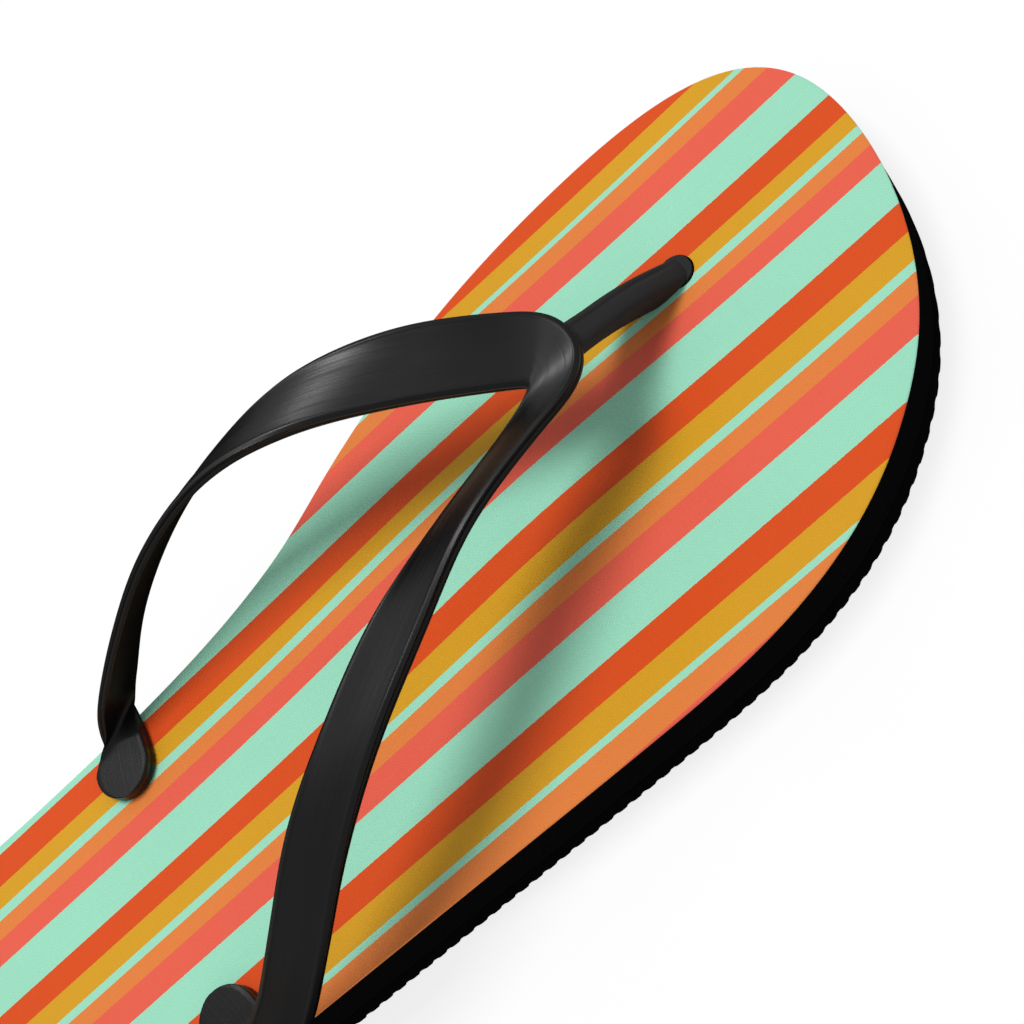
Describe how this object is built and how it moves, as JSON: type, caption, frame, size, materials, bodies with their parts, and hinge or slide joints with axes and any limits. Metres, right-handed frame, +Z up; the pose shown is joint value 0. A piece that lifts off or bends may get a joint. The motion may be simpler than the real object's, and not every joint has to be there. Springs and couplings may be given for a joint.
{
  "type": "flip flop",
  "caption": "Right-foot flip flop: treaded rubber outsole, foam footbed, striped fabric cover, and a V strap and toe post plugged through the sole.",
  "frame": {"origin": "bottom centre of the whole shoe's bounding box, at the level of the tread face", "axes": "+Z up from the tread to the footbed, +Y towards the toe along the sole, +X towards the little toe of a right foot"},
  "size_m": [0.1066, 0.285, 0.0527],
  "materials": {
    "outsole_rubber": "matte black moulded rubber",
    "footbed_foam": "matte black closed-cell foam, cut edge",
    "cover_fabric": "fine woven polyester, printed with lengthwise mint, red-orange, gold, orange and coral stripes",
    "strap_plastic": "satin black soft PVC with fine lengthwise grain"
  },
  "bodies": {
    "root": {"outsole": "outsole_rubber", "footbed": "footbed_foam", "fabric_cover": "cover_fabric", "v_strap": "strap_plastic", "toe_post": "strap_plastic"}
  },
  "joints": []
}
